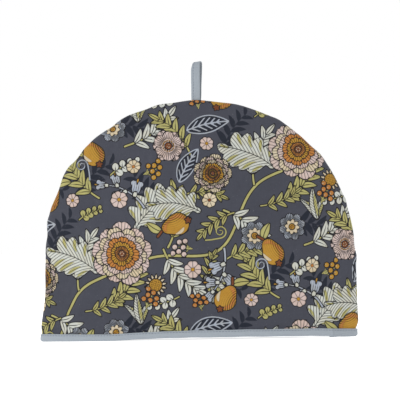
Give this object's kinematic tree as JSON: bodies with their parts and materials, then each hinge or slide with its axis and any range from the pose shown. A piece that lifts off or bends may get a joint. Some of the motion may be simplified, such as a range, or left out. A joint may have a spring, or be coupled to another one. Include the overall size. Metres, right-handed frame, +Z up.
{
  "type": "tea cosy",
  "caption": "Wadded half-dome cloth cover for a teapot, with a bound hem, a printed outside and a hanging loop at the crown.",
  "frame": {"origin": "on the surface the hem stands on, under the middle of the whole part's box", "axes": "+X to the right across the front, +Y from the front panel to the back panel, +Z up from the hem to the loop"},
  "size_m": [0.3392, 0.0942, 0.2944],
  "materials": {
    "printed_cloth": "matt cotton, dark slate ground with a leaf and flower print",
    "binding_tape": "matt cotton tape, plain grey-blue"
  },
  "bodies": {
    "root": {"front_panel": "printed_cloth", "back_panel": "printed_cloth", "hem_binding": "binding_tape", "hanging_loop": "binding_tape"}
  },
  "joints": []
}
